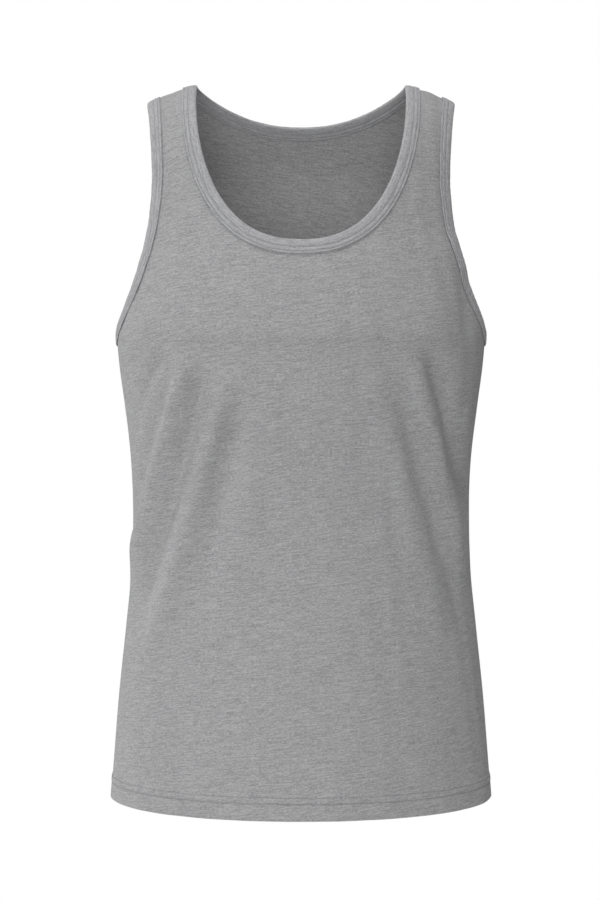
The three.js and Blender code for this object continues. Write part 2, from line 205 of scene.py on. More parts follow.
def measure(column, level):
    """A smooth curve through one column of the table of levels."""
    levels = LEVELS[:, 0]
    values = LEVELS[:, LEVEL_COLUMNS.index(column)]
    span = np.append(levels[1:], levels[-1]) - np.insert(levels[:-1], 0, levels[0])
    slopes = (np.append(values[1:], values[-1]) - np.insert(values[:-1], 0, values[0])) / span
    low = np.clip(np.searchsorted(levels, level) - 1, 0, len(levels) - 2)
    width = levels[low + 1] - levels[low]
    t = np.clip((level - levels[low]) / width, 0, 1)
    rest = 1 - t
    ends = values[low] * rest**2 * (1 + 2 * t) + values[low + 1] * t**2 * (3 - 2 * t)
    return ends + width * (slopes[low] * t * rest**2 - slopes[low + 1] * t**2 * rest)


def crest_rise(x):
    return CREST_TOP - CREST_FALL * np.maximum(np.abs(x) - CREST_FLAT, 0) ** 2


def height_at(x, level):
    return crest_rise(x) * (1 - smoothstep(level, 0, CREST_FADE_LEVEL)) - level


def level_at(x, z):
    level = np.maximum(-z, 0)
    for _ in range(12):
        level = np.maximum(level + height_at(x, level) - z, 0)
    return level


def reach_of(level):
    rounded = SHOULDER_ROUND * np.arccos(np.clip(1 - level / SHOULDER_ROUND, -1, 1))
    return np.where(level < SHOULDER_ROUND, rounded, level + SHOULDER_ROUND * (QUARTER - 1))


def level_of(reach):
    arch = np.abs(reach) / SHOULDER_ROUND
    straight = np.abs(reach) - SHOULDER_ROUND * (QUARTER - 1)
    return np.where(arch < QUARTER, SHOULDER_ROUND * (1 - np.cos(arch)), straight)


def signed_power(value, power):
    return np.sign(value) * np.abs(value) ** power


def form_point(panel, turn, reach):
    """A point of the plain form, without folds."""
    level = level_of(reach)
    power = 2 / measure("square", level)
    arch = np.clip(reach / SHOULDER_ROUND, -QUARTER, QUARTER)
    x = measure("half_width", level) * signed_power(np.cos(turn), power)
    depth = measure(panel.name, level) * np.sin(arch) * signed_power(np.sin(turn), power)
    return np.stack(np.broadcast_arrays(x, panel.toward * depth, height_at(x, level)), axis=-1)


def slopes(point_at, turn, reach):
    step = 1e-3
    drop = 0.1
    around = (point_at(turn + step, reach) - point_at(turn - step, reach)) / (2 * step)
    down = (point_at(turn, reach + drop) - point_at(turn, reach - drop)) / (2 * drop)
    return around, down


def unit(vectors):
    return vectors / np.linalg.norm(vectors, axis=-1, keepdims=True)


def outward(panel, point_at, turn, reach):
    around, down = slopes(point_at, turn, reach)
    return unit(np.cross(around, down)) * -panel.toward


def fold_rise(panel, turn, at):
    """How far the folds lift the cloth off the plain form."""
    x, z = at[..., 0], at[..., 2]
    rise = np.zeros_like(x)
    for fold in panel.folds:
        along = np.clip((fold.top_z - z) / (fold.top_z - fold.end_z), 0, 1)
        line = fold.top_x + (fold.end_x - fold.top_x) * along + fold.bow * np.sin(along * np.pi)
        ends = smoothstep(along, 0, FOLD_TOP_FADE) * smoothstep(1 - along, 0, FOLD_END_FADE)
        rise += FOLD_DEEPER * fold.rise * ends * np.exp(-(((x - line) / fold.width) ** 2))
    start, full, leaving, gone = CHEST_STEP_LEVELS
    inner, outer = CHEST_STEP_HALF_WIDTHS
    under_chest = smoothstep(-z, start, full) * smoothstep(-z, gone, leaving)
    rise -= panel.chest_step * under_chest * smoothstep(np.abs(x), outer, inner)
    from_seam = np.minimum(turn, np.pi - turn)
    return rise * smoothstep(from_seam, 0, FOLD_SEAM_FADE)


def folded_point(panel, turn, reach):
    plain = form_point(panel, turn, reach)
    normal = outward(panel, lambda t, r: form_point(panel, t, r), turn, reach)
    return plain + normal * fold_rise(panel, turn, plain)[..., None]


def cloth_at(panel, turn, reach):
    """The cloth's outer point and outward direction."""
    def point_at(t, r):
        return folded_point(panel, t, r)

    return point_at(turn, reach), outward(panel, point_at, turn, reach)


def across(panel, turn, reach):
    """Length over the cloth from the centre line, along one level."""
    length = 0
    before = form_point(panel, QUARTER, reach)
    for share in np.linspace(0, 1, 17)[1:]:
        after = form_point(panel, QUARTER + (turn - QUARTER) * share, reach)
        length = length + np.linalg.norm(after - before, axis=-1)
        before = after
    return length * np.sign(QUARTER - turn)


def neck_place(panel, t):
    """The neck's cut edge, from the centre line up to the crest."""
    turn = QUARTER * (1 - t)
    x = NECK_HALF_WIDTH * np.maximum(np.cos(turn), 0) ** (2 / panel.neck_curve.across)
    drop = panel.neck_drop * np.maximum(np.sin(turn), 0) ** (2 / panel.neck_curve.down)
    level = level_at(x, crest_rise(NECK_HALF_WIDTH) - drop)
    share = np.clip(x / measure("half_width", level), 0, 1)
    return np.arccos(share ** (measure("square", level) / 2)), reach_of(level)


def armhole_place(panel, t):
    """The armhole's cut edge, from the side seam up to the crest."""
    swing = np.clip(t / ARMHOLE_ROUND_PART, 0, 1) * QUARTER
    drop = (ARMHOLE_LEVEL - ARMHOLE_STRAIGHT_LEVEL) * np.cos(swing) ** (2 / ARMHOLE_CURVE)
    up = np.clip((1 - t) / (1 - ARMHOLE_ROUND_PART), 0, 1)
    straight = reach_of(ARMHOLE_STRAIGHT_LEVEL) * up
    reach = np.where(t > ARMHOLE_ROUND_PART, straight, reach_of(ARMHOLE_STRAIGHT_LEVEL + drop))
    turn = mix(CREST_ARMHOLE_TURN, panel.armhole_turn * np.sin(swing), smoothstep(up, 0, 1))
    return turn, reach


def even_places(panel, place_at, shares):
    """Places at shares of an edge's whole length."""
    t = np.linspace(0, 1, 801)
    turn, reach = place_at(panel, t)
    steps = np.linalg.norm(np.diff(form_point(panel, turn, reach), axis=0), axis=-1)
    lengths = np.insert(np.cumsum(steps), 0, 0)
    return place_at(panel, np.interp(shares * lengths[-1], lengths, t))


def hem_reach(panel, turn):
    return reach_of(SIDE_LENGTH + panel.hem_dip * np.sin(turn))


def walk(panel, turn, reach, direction, distance, steps=4):
    """Moves places over the form by a distance, in a direction kept on the surface."""
    for _ in range(steps):
        around, down = slopes(lambda t, r: form_point(panel, t, r), turn, reach)
        aa = (around * around).sum(-1)
        ad = (around * down).sum(-1)
        dd = (down * down).sum(-1)
        a = (around * direction).sum(-1)
        d = (down * direction).sum(-1)
        size = distance / steps / (aa * dd - ad * ad)
        turn = turn + (a * dd - d * ad) * size
        reach = reach + (d * aa - a * ad) * size
    return turn, reach


def add_grid(bm, points, chart):
    """Adds a grid with a corner for each of rows by columns of points, and its chart as UV."""
    rows, columns = points.shape[:2]
    made = bmesh.ops.create_grid(bm, x_segments=columns - 1, y_segments=rows - 1, size=0.5)
    uv = bm.loops.layers.uv.verify()
    spots = {}
    for corner in made["verts"]:
        column = round((corner.co.x + 0.5) * (columns - 1))
        row = round((corner.co.y + 0.5) * (rows - 1))
        spots[corner] = (row, column)
    faces = {face for corner in made["verts"] for face in corner.link_faces}
    for face in faces:
        for loop in face.loops:
            loop[uv].uv = chart[spots[loop.vert]]
    for corner, spot in spots.items():
        corner.co = points[spot] * MM


def finish_piece(name, bm, material, node=None):
    """Makes a bmesh one smooth object of the garment."""
    bmesh.ops.remove_doubles(bm, verts=bm.verts, dist=2e-6)
    bmesh.ops.recalc_face_normals(bm, faces=bm.faces)
    mesh = bpy.data.meshes.new(name)
    bm.to_mesh(mesh)
    bm.free()
    mesh.polygons.foreach_set("use_smooth", [True] * len(mesh.polygons))
    piece = bpy.data.objects.new(name, mesh)
    bpy.context.scene.collection.objects.link(piece)
    piece.data.materials.append(material)
    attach(piece, "root")
    if node:
        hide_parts(node)
    return piece


def add_node(tree, kind, inputs=None, **settings):
    """Adds a node, then sets its settings and sets or links its inputs."""
    made = tree.nodes.new(kind)
    for name, value in settings.items():
        setattr(made, name, value)
    for name, value in (inputs or {}).items():
        if isinstance(value, bpy.types.NodeSocket):
            tree.links.new(value, made.inputs[name])
        else:
            made.inputs[name].default_value = value
    return made


def linear(srgb):
    """A linear colour from an sRGB hex value."""
    shares = [(srgb >> shift & 255) / 255 for shift in (16, 8, 0)]
    return [c / 12.92 if c <= 0.04045 else ((c + 0.055) / 1.055) ** 2.4 for c in shares] + [1]


# The camera is level, 2 m in front of the side seams and at mid height, so one millimetre
# there is one pixel of the 600 by 900 picture
eye = bpy.data.objects.new("camera", bpy.data.cameras.new("camera"))
bpy.context.scene.collection.objects.link(eye)
eye.location = (-0.001, -2.0, -0.3568)
eye.rotation_euler = (QUARTER, 0, 0)
eye.data.sensor_width = 36
eye.data.lens = 80
bpy.context.scene.camera = eye

# Noise drawn out along the courses: its length and height, the place where it is read and how
# much detail it has
Fibres = namedtuple("Fibres", "length height offset detail")

# Flecks and streaks of the melange yarn, with their shares of the tone. The real flecks are
# single fibres, too fine for the picture, so the smallest ones here are about a millimetre high.
DASHES = Fibres(8, 1.3, 3.1, 1.0)
DASHES_SHARE = 0.28
OTHER_STREAKS = (
    (Fibres(2.4, 1.1, 17.7, 1.0), 0.42),
    (Fibres(22, 1.6, 55.5, 1.0), 0.22),
    (Fibres(34, 6, 41.3, 2.0), 0.08),
    (Fibres(60, 30, 71.9, 1.0), 0.04),
)
TONE_DARKEST = 0.27
TONE_LIGHTEST = 0.75
COURSE_WANDER = Fibres(55, 70, 90.5, 0.0)
COURSE_WANDER_HEIGHT = 5
THREAD_TWIST = Fibres(0.6, 0.9, 5.0, 1.0)

# Real wales and courses are 0.8 mm apart, too fine for the picture, so these are wider
WALE_SPACING = 1.3
COURSE_SPACING = 1.1
LOOP_HEIGHT = 0.1
DASH_BUMP = 1.5


def fibre_noise(tree, chart, fibres):
    """A noise's value over a chart in metres."""
    scale = (1 / (fibres.length * MM), 1 / (fibres.height * MM), 1)
    spread = add_node(
        tree,
        "ShaderNodeMapping",
        {"Vector": chart, "Location": (fibres.offset, fibres.offset, 0), "Scale": scale},
    ).outputs["Vector"]
    return add_node(
        tree,
        "ShaderNodeTexNoise",
        {"Vector": spread, "Scale": 1.0, "Detail": fibres.detail, "Roughness": 0.55},
        noise_dimensions="2D",
    ).outputs["Fac"]


def heather_jersey(name, dark, light):
    """Cotton single jersey knitted from a dark and light grey melange yarn.

    It gives the eye a matte, faintly furry grey with short uneven darker and lighter dashes
    along the courses, and no gloss at all."""
    material = bpy.data.materials.new(name)
    material.use_nodes = True
    tree = material.node_tree
    shader = tree.nodes["Principled BSDF"]
    flat = add_node(tree, "ShaderNodeTexCoord").outputs["UV"]
    parts = add_node(tree, "ShaderNodeSeparateXYZ", {"Vector": flat})

    # The courses wander a few millimetres up and down over the body
    wander = fibre_noise(tree, flat, COURSE_WANDER)
    course = add_node(
        tree,
        "ShaderNodeMath",
        {0: wander, 1: COURSE_WANDER_HEIGHT * MM, 2: parts.outputs["Y"]},
        operation="MULTIPLY_ADD",
    ).outputs[0]
    chart = add_node(
        tree, "ShaderNodeCombineXYZ", {"X": parts.outputs["X"], "Y": course}
    ).outputs["Vector"]
    dashes = fibre_noise(tree, chart, DASHES)
    blend = add_node(tree, "ShaderNodeMath", {0: dashes, 1: DASHES_SHARE}, operation="MULTIPLY")
    for fibres, share in OTHER_STREAKS:
        streaks = fibre_noise(tree, chart, fibres)
        blend = add_node(
            tree,
            "ShaderNodeMath",
            {0: streaks, 1: share, 2: blend.outputs[0]},
            operation="MULTIPLY_ADD",
        )

    tone = add_node(
        tree,
        "ShaderNodeMapRange",
        {"Value": blend.outputs[0], "From Min": TONE_DARKEST, "From Max": TONE_LIGHTEST},
        interpolation_type="SMOOTHSTEP",
    )
    # A colour mix has its two colours at inputs 6 and 7 and its result at output 2
    colour = add_node(
        tree,
        "ShaderNodeMix",
        {"Factor": tone.outputs["Result"], 6: linear(dark), 7: linear(light)},
        data_type="RGBA",
    )
    tree.links.new(colour.outputs[2], shader.inputs["Base Color"])

    # The knit's loops, where wales and courses cross, and the dashes as slightly thicker yarn
    waves = []
    for place, spacing in ((parts.outputs["X"], WALE_SPACING), (course, COURSE_SPACING)):
        full_turns = {0: place, 1: 2 * math.pi / (spacing * MM)}
        phase = add_node(tree, "ShaderNodeMath", full_turns, operation="MULTIPLY")
        wave = add_node(tree, "ShaderNodeMath", {0: phase.outputs[0]}, operation="SINE")
        waves.append(wave.outputs[0])
    loops = add_node(tree, "ShaderNodeMath", {0: waves[0], 1: waves[1]}, operation="ADD")
    loops = add_node(
        tree,
        "ShaderNodeMath",
        {0: dashes, 1: DASH_BUMP, 2: loops.outputs[0]},
        operation="MULTIPLY_ADD",
    )
    bump = add_node(
        tree,
        "ShaderNodeBump",
        {"Height": loops.outputs[0], "Strength": 0.35, "Distance": LOOP_HEIGHT * MM},
    )
    tree.links.new(bump.outputs["Normal"], shader.inputs["Normal"])
    shader.inputs["Roughness"].default_value = 0.95
    shader.inputs["Specular IOR Level"].default_value = 0.2
    shader.inputs["Sheen Weight"].default_value = 0.12
    shader.inputs["Sheen Roughness"].default_value = 0.6
    return material


def spun_thread(name):
    """Spun polyester sewing thread, dyed grey: small matte twisted dashes, a little darker."""
    material = bpy.data.materials.new(name)
    material.use_nodes = True
    tree = material.node_tree
    shader = tree.nodes["Principled BSDF"]
    chart = add_node(tree, "ShaderNodeTexCoord").outputs["UV"]
    twist = fibre_noise(tree, chart, THREAD_TWIST)
    colour = add_node(
        tree,
        "ShaderNodeMix",
        {"Factor": twist, 6: linear(THREAD_DARK), 7: linear(THREAD_LIGHT)},
        data_type="RGBA",
    )
    tree.links.new(colour.outputs[2], shader.inputs["Base Color"])
    shader.inputs["Roughness"].default_value = 0.7
    shader.inputs["Specular IOR Level"].default_value = 0.3
    return material


HEATHER_DARK = 0x7F7F80
HEATHER_LIGHT = 0xA9A9AA
BAND_DARK = 0x868688
BAND_LIGHT = 0xAEAEB0
THREAD_DARK = 0x848486
THREAD_LIGHT = 0xAEAEB1
STUDIO_WHITE = 0xF8F8F8

jersey_material = heather_jersey("heather_single_jersey", HEATHER_DARK, HEATHER_LIGHT)
band_material = heather_jersey("heather_jersey_binding", BAND_DARK, BAND_LIGHT)
thread_material = spun_thread("spun_polyester_thread")

# Rows and columns of a half panel, about 3 mm apart
BODY_ROWS = 146
CHEST_ROWS = 42
STRAP_ROWS = 44
MIDDLE_COLUMNS = 26
SIDE_SHARES = np.append(np.linspace(0, 0.968, 48), [0.982, 0.991, 0.996, 1])

# The hem's section: height above its fold and depth behind the outer layer, from the raw
# edge inside, down round the fold and up the outside
HEM_LAYER_DEPTH = 1.15
HEM_INSIDE = (
    (22.6, 1.0),
    (21.5, HEM_LAYER_DEPTH),
    (18.5, 1.35),
    (16, HEM_LAYER_DEPTH),
    (12, 1.4),
    (6, 1.4),
    (2.4, 1.3),
    (1.0, 1.15),
    (0.35, 0.9),
    (0.0, 0.5),
    (0.3, 0.12),
    (1.0, 0.0),
)
HEM_OUTSIDE = np.array([
    2, 5, 8, 11, 13.4, 14.5, 15.1, 15.6, 16, 16.4, 17, 18.2, 19.5, 20.5, 21.1, 21.5, 21.9, 22.5,
    23.3, 24.2, 25.2, 27,
])

# The doubled hem: how far it stands proud, how much more between its needle rows, the groove at
# each row, and the turn at which its stitches stop short of the side seams
HEM_PROUD = 0.5
HEM_RIDGE = 0.45
NEEDLE_GROOVE_DEPTH = 0.75
NEEDLE_GROOVE_WIDTH = 0.6
HEM_STITCH_END = 0.004

# The cloth dips along a seam. The hem sways and all the cloth ripples, each by a small height
# over a length of cloth; the girth's radius turns a turn into a rough length round the form.
SEAM_DIP = 0.5
SEAM_DIP_WIDTH = 1.6
HEM_SWAY = 0.45
HEM_SWAY_LENGTH = 64
HEM_SWAY_REACH = 110
CLOTH_RIPPLE = 0.22
CLOTH_RIPPLE_LENGTH = 46
CLOTH_RIPPLE_SLANT = 0.12
CLOTH_RIPPLE_SEAM_FADE = 0.4
GIRTH_RADIUS = 170


def hem_relief(up):
    """The doubled hem stands proud, most between its needle rows, which draw it in."""
    low, high = HEM_ROWS
    proud = HEM_PROUD * smoothstep(up, HEM_DEPTH + 2, HEM_DEPTH - 0.5)
    between = smoothstep(up, low - 0.3, low + 1.2) * smoothstep(up, high + 1.5, high - 0.5)
    rows = sum(np.exp(-(((up - row) / NEEDLE_GROOVE_WIDTH) ** 2)) for row in HEM_ROWS)
    return proud + HEM_RIDGE * between - NEEDLE_GROOVE_DEPTH * rows


def ripple(length, seed, spacing, count=5):
    """A soft uneven wave along a length, between about -1 and 1."""
    dice = np.random.default_rng(seed)
    waves = zip(dice.uniform(0.6, 1.7, count), dice.uniform(0, 2 * np.pi, count))
    return sum(np.sin(length * 2 * np.pi / spacing * f + p) for f, p in waves) / count**0.5


def place_cloth(panel, turn, reach, depth):
    """Points of the cloth's middle layer at a depth behind it, clear of the next panel."""
    points, normal = cloth_at(panel, turn, reach)
    round_form = np.asarray(turn) * GIRTH_RADIUS
    up = hem_reach(panel, turn) - reach
    from_seam = np.minimum(turn, np.pi - turn)
    sway = HEM_SWAY * ripple(round_form, 11 + panel.toward, HEM_SWAY_LENGTH)
    sway = sway * smoothstep(up, HEM_SWAY_REACH, 0) * smoothstep(from_seam, 0, FOLD_SEAM_FADE)
    slanted = round_form + reach * CLOTH_RIPPLE_SLANT
    rippled = CLOTH_RIPPLE * ripple(slanted, 5 + panel.toward, CLOTH_RIPPLE_LENGTH)
    rippled = rippled * smoothstep(up, 0, 60) * smoothstep(from_seam, 0, CLOTH_RIPPLE_SEAM_FADE)
    outer_layer = depth < 0.05
    relief = np.where(outer_layer, hem_relief(up), 0)
    dip = SEAM_DIP * np.exp(-((points[..., 1] / SEAM_DIP_WIDTH) ** 2))
    sink = depth + dip + CLOTH / 2 - sway - rippled - relief
    at = points - normal * sink[..., None]
    at[..., 1] = panel.toward * np.maximum(panel.toward * at[..., 1], SEAM_HALF_GAP)
    return at


def half_panel(panel):
    """Turn, reach and depth for the two patches of a half panel, below the neck and beside it."""
    arm_reach = reach_of(ARMHOLE_LEVEL)
    corner_turn, corner_reach = even_places(panel, neck_place, panel.neck_corner)
    strap = even_places(panel, neck_place, np.linspace(panel.neck_corner, 1, STRAP_ROWS + 1))
    strap_length = np.linalg.norm(np.diff(form_point(panel, *strap), axis=0), axis=-1).sum()
    chest_length = arm_reach - corner_reach
    split = chest_length / (chest_length + strap_length)
    top = HEM_OUTSIDE[-1]

    rows = np.linspace(0, 1, BODY_ROWS + 1)[1:]
    chest = np.linspace(0, 1, CHEST_ROWS + 1)[1:]
    start = hem_reach(panel, corner_turn) - top
    inner_reach = np.concatenate([mix(start, arm_reach, rows), mix(arm_reach, corner_reach, chest)])
    inner_turn = np.full_like(inner_reach, corner_turn)
    arm_turn, arm_edge = even_places(panel, armhole_place, np.append(
        chest * split, np.linspace(split, 1, STRAP_ROWS + 1)[1:]))
    outer_turn = np.concatenate([np.zeros(BODY_ROWS), arm_turn])
    outer_reach = np.concatenate([mix(hem_reach(panel, 0) - top, arm_reach, rows), arm_edge])

    # Hem rows run level with the hem in both patches
    inside = np.array(HEM_INSIDE)
    hem_up = np.concatenate([inside[:, 0], HEM_OUTSIDE])[:, None]
    hem_depth = np.concatenate([inside[:, 1], np.zeros(len(HEM_OUTSIDE))])[:, None]

    shares = np.linspace(0, 1, MIDDLE_COLUMNS + 1)
    low_turn = mix(QUARTER, corner_turn, shares)
    high_turn, high_reach = even_places(panel, neck_place, shares * panel.neck_corner)
    rise = ((start - inner_reach) / (start - corner_reach))[:, None]
    low_reach = hem_reach(panel, low_turn)
    middle_turn = np.vstack([low_turn + hem_up * 0, mix(low_turn, high_turn, rise)])
    middle_reach = np.vstack([low_reach - hem_up, mix(low_reach - top, high_reach, rise)])
    middle_depth = np.vstack([hem_depth + low_turn * 0, rise * 0 + low_turn * 0])

    beside_turn = np.append(inner_turn, strap[0][1:])[:, None]
    beside_reach = np.append(inner_reach, strap[1][1:])[:, None]
    side_turn = mix(beside_turn, outer_turn[:, None], SIDE_SHARES)
    side_reach = mix(beside_reach, outer_reach[:, None], SIDE_SHARES)
    hem_turn = mix(corner_turn, 0, SIDE_SHARES)
    side_turn = np.vstack([hem_turn + hem_up * 0, side_turn])
    side_reach = np.vstack([hem_reach(panel, hem_turn) - hem_up, side_reach])
    side_depth = np.vstack([hem_depth + hem_turn * 0, np.zeros_like(side_turn[len(hem_up):])])

    # Seam allowances, turned in below the armhole and at the crest
    hem_rows = len(hem_up)
    sewn = np.zeros(len(side_turn))
    sewn[hem_rows : hem_rows + BODY_ROWS - 1] = SIDE_ALLOWANCE[-1]
    sewn[len(inside) : hem_rows] = HEM_ALLOWANCE
    for depth in SIDE_ALLOWANCE:
        side_turn = np.hstack([side_turn, side_turn[:, -1:]])
        side_reach = np.hstack([side_reach, side_reach[:, -1:]])
        edge_depth = np.maximum(side_depth[:, SIDE_SHARES.size - 1], np.minimum(sewn, depth))
        side_depth = np.hstack([side_depth, edge_depth[:, None]])
    for depth in SHOULDER_ALLOWANCE:
        side_turn = np.vstack([side_turn, side_turn[-1:]])
        side_reach = np.vstack([side_reach, side_reach[-1:]])
        side_depth = np.vstack([side_depth, np.full_like(side_depth[-1:], depth)])
    return (middle_turn, middle_reach, middle_depth), (side_turn, side_reach, side_depth)


def make_panel(panel):
    bm = bmesh.new()
    for mirrored in (False, True):
        for turn, reach, depth in half_panel(panel):
            turn = np.pi - turn if mirrored else turn
            points = place_cloth(panel, turn, reach, depth)
            # The courses of a single jersey spiral a little: here they rise to the right
            width = across(panel, turn, reach)
            down = reach - panel.toward * COURSE_SKEW * width
            chart = np.stack([width * MM + panel.grain, -down * MM], axis=-1)
            add_grid(bm, points, chart)
    piece = finish_piece(
        f"{panel.name}_cloth", bm, jersey_material, f"{panel.name}_panel"
    )
    wall = piece.modifiers.new("cloth", "SOLIDIFY")
    wall.thickness = CLOTH * MM
    wall.offset = 0
    wall.use_rim = True
    return piece


# A band's section round the cloth's edge, first the outer leg, then the fold, the inner leg
# and the side against the cloth: distance under the edge from the leg's end, past the edge,
# and out of the cloth's outer face. Both needle rows draw the legs in.
BandSpot = namedtuple("BandSpot", "from_end past out")
NEAR, FAR = NEEDLE_ROWS
OUTER_LEG = (
    (0.9, 0.06), (0.7, 0.5), (-0.15, 0.62), (-0.35, 0.95), (-0.1, 1.4), (0.5, 1.62),
    (1.2, 1.66), (NEAR - 0.45, 1.52), (NEAR - 0.2, 1.06), (NEAR, 0.95), (NEAR + 0.2, 1.06),
    (NEAR + 0.5, 1.55), (3.3, 1.75), (4.2, 1.82), (5.2, 1.75), (FAR - 0.45, 1.58),
    (FAR - 0.2, 1.25), (FAR, 1.15), (FAR + 0.2, 1.25), (FAR + 0.5, 1.6), (7.5, 1.75), (8.8, 1.86),
    (10.4, 1.85),
)
FOLD_OVER = ((0, 1.55), (0.75, 1.2), (1.25, 0.6), (BAND_FOLD, -0.2), (BAND_FOLD, -0.7))
CLOTH_SIDE = ((None, 0, -CLOTH - 0.04), (None, 0.2, -0.45), (None, 0, 0.04))

# A band puckers at its stitches and swells and sinks slowly between them
BAND_PUCKER = 0.09
BAND_PUCKER_LENGTH = 9
BAND_SWELL = 0.12
BAND_SWELL_LENGTH = 31
BAND_JOIN_FADE = 12


def band_section():
    """The closed section as spots, the inner leg mirroring the outer one."""
    outer = [BandSpot(end, 0, out) for end, out in OUTER_LEG]
    fold = [BandSpot(None, past, out) for past, out in FOLD_OVER]
    inner = [spot._replace(out=-CLOTH - spot.out) for spot in reversed(outer + fold[:3])]
    return outer + fold + inner + [BandSpot(*spot) for spot in CLOTH_SIDE]


def bound_edge(panel, place_at, count, start, hand):
    """Even places along a cut edge and the direction that leaves the cloth at each."""
    turn, reach = even_places(panel, place_at, np.linspace(0, 1, count + 1))
    along = np.gradient(form_point(panel, turn, reach), axis=0)
    along[0] = start
    along[-1] = (0, -panel.toward, 0)
    normal = outward(panel, lambda t, r: form_point(panel, t, r), turn, reach)
    away = unit(np.cross(normal, along)) * -panel.toward * hand
    return turn, reach, away


def band_strip(panel, edge, mirrored, width, spots):
    """Points and outward directions of one part of a band, one row for each section."""
    turn, reach, away = edge
    places = {}
    for spot in spots:
        under = 0 if spot.from_end is None else max(width - spot.from_end, 0)
        places[under] = walk(panel, turn, reach, -away, under)
    lookup = list(places)
    turns = np.stack([places[under][0] for under in lookup], axis=-1)
    reaches = np.stack([places[under][1] for under in lookup], axis=-1)
    leave = away * (-1, 1, 1) if mirrored else away
    base, normal = cloth_at(panel, np.pi - turns if mirrored else turns, reaches)
    columns = []
    for spot in spots:
        under = 0 if spot.from_end is None else max(width - spot.from_end, 0)
        index = lookup.index(under)
        lift = normal[:, index] * spot.out + leave * spot.past
        columns.append(np.stack([base[:, index] + lift, normal[:, index]], axis=-2))
    return np.stack(columns, axis=1)


def band_ring(parts, width, spots):
    """Joins the parts of a closed band, dropping the sections that two parts share."""
    strips = []
    for panel, edge, mirrored, backward in parts:
        strip = band_strip(panel, edge, mirrored, width, spots)
        strip = strip[::-1] if backward else strip
        strips.append(strip[:-1])
    return np.concatenate(strips + [strips[0][:1]])


def neck_parts(count):
    rows = {panel.name: bound_edge(panel, neck_place, count[panel.name], (1, 0, 0), 1)
            for panel in (FRONT, BACK)}
    return [
        (FRONT, rows["front"], False, False),
        (BACK, rows["back"], False, True),
        (BACK, rows["back"], True, False),
        (FRONT, rows["front"], True, True),
    ]


def armhole_parts(count, mirrored):
    rows = {panel.name: bound_edge(panel, armhole_place, count, (0, panel.toward, 0), -1)
            for panel in (FRONT, BACK)}
    return [(FRONT, rows["front"], mirrored, False), (BACK, rows["back"], mirrored, True)]


def path_length(points):
    return np.insert(np.cumsum(np.linalg.norm(np.diff(points, axis=0), axis=-1)), 0, 0)


def make_band(name, parts, width, seed):
    """A folded strip sewn round an edge, with its two rows of stitches outside and inside.

    Returns the band and its length as sewn."""
    spots = band_section()
    ring = band_ring(parts, width, spots)
    points = ring[:, :, 0]
    normals = ring[:, :, 1]
    length = path_length(points[:, 0])
    puff = BAND_PUCKER * ripple(length, seed, BAND_PUCKER_LENGTH)
    puff = puff + BAND_SWELL * ripple(length, seed + 1, BAND_SWELL_LENGTH)
    from_join = smoothstep(length, 0, BAND_JOIN_FADE)
    from_join = from_join * smoothstep(length, length[-1], length[-1] - BAND_JOIN_FADE)
    from_middle = np.array([spot.out for spot in spots]) + CLOTH / 2
    clear_of_cloth = np.abs(from_middle) > CLOTH / 2 + 0.5
    weight = np.where(clear_of_cloth, np.sign(from_middle), 0)
    points = points + normals * (weight * (puff * from_join)[:, None])[..., None]
    closed = np.concatenate([points, points[:, :1]], axis=1)
    round_section = path_length(closed[len(closed) // 3])
    chart = np.stack(np.broadcast_arrays(length[:, None], round_section[None]), axis=-1) * MM
    bm = bmesh.new()
    add_grid(bm, closed, chart + (0, seed * 0.1))
    band = finish_piece(name, bm, band_material, name.replace("_band", "_binding"))

    threads = bmesh.new()
    for row in NEEDLE_ROWS:
        index = [spot.from_end for spot in spots].index(row)
        back = len(spots) - len(CLOTH_SIDE) - 1 - index
        add_thread(threads, points[:, index], normals[:, index])
        add_thread(threads, points[:, back], -normals[:, back])
    finish_piece(f"{name}_stitches", threads, thread_material)
    return band, length[-1]


# The thread's height over the cloth, its depth at a needle hole and the hole's share of a stitch
THREAD_LIFT = 0.4
NEEDLE_HOLE_DEPTH = 0.8
NEEDLE_HOLE_SHARE = 0.15
THREAD_SIDES = 6


def add_thread(bm, points, normals, steps=6):
    """Stitches along a path: the thread lies on the cloth and dips in at its needle holes."""
    lengths = path_length(points)
    count = round(lengths[-1] / STITCH_PITCH)
    phase = np.linspace(0, count, count * steps + 1)
    at = phase / count * lengths[-1]
    path = np.stack([np.interp(at, lengths, points[:, axis]) for axis in range(3)], -1)
    out = unit(np.stack([np.interp(at, lengths, normals[:, axis]) for axis in range(3)], -1))
    side = np.cross(unit(np.gradient(path, axis=0)), out)
    hole = np.abs(phase - np.round(phase))
    lift = THREAD_LIFT - NEEDLE_HOLE_DEPTH * np.exp(-((hole / NEEDLE_HOLE_SHARE) ** 2))
    angle = np.linspace(0, 2 * np.pi, THREAD_SIDES + 1)
    ring = out[:, None] * (lift[:, None] + np.sin(angle) * THREAD / 2)[..., None]
    ring = ring + side[:, None] * (np.cos(angle) * THREAD / 2)[:, None]
    chart = np.stack(np.broadcast_arrays(at[:, None], angle[None]), axis=-1) * MM
    add_grid(bm, path[:, None] + ring, chart)


def make_hem_stitches(panel):
    threads = bmesh.new()
    turn = np.linspace(HEM_STITCH_END, np.pi - HEM_STITCH_END, 360)
    for row in HEM_ROWS:
        reach = hem_reach(panel, turn) - row
        normals = cloth_at(panel, turn, reach)[1]
        outside = place_cloth(panel, turn, reach, np.zeros_like(turn)) + normals * CLOTH / 2
        turned_up = np.full_like(turn, HEM_LAYER_DEPTH)
        inside = place_cloth(panel, turn, reach, turned_up) - normals * CLOTH / 2
        add_thread(threads, outside, normals)
        add_thread(threads, inside, -normals)
    finish_piece(f"{panel.name}_hem_stitches", threads, thread_material)


# Sections of the bands round a quarter of the neck and half an armhole
NECK_SECTIONS = {"front": 150, "back": 96}
ARMHOLE_SECTIONS = 190


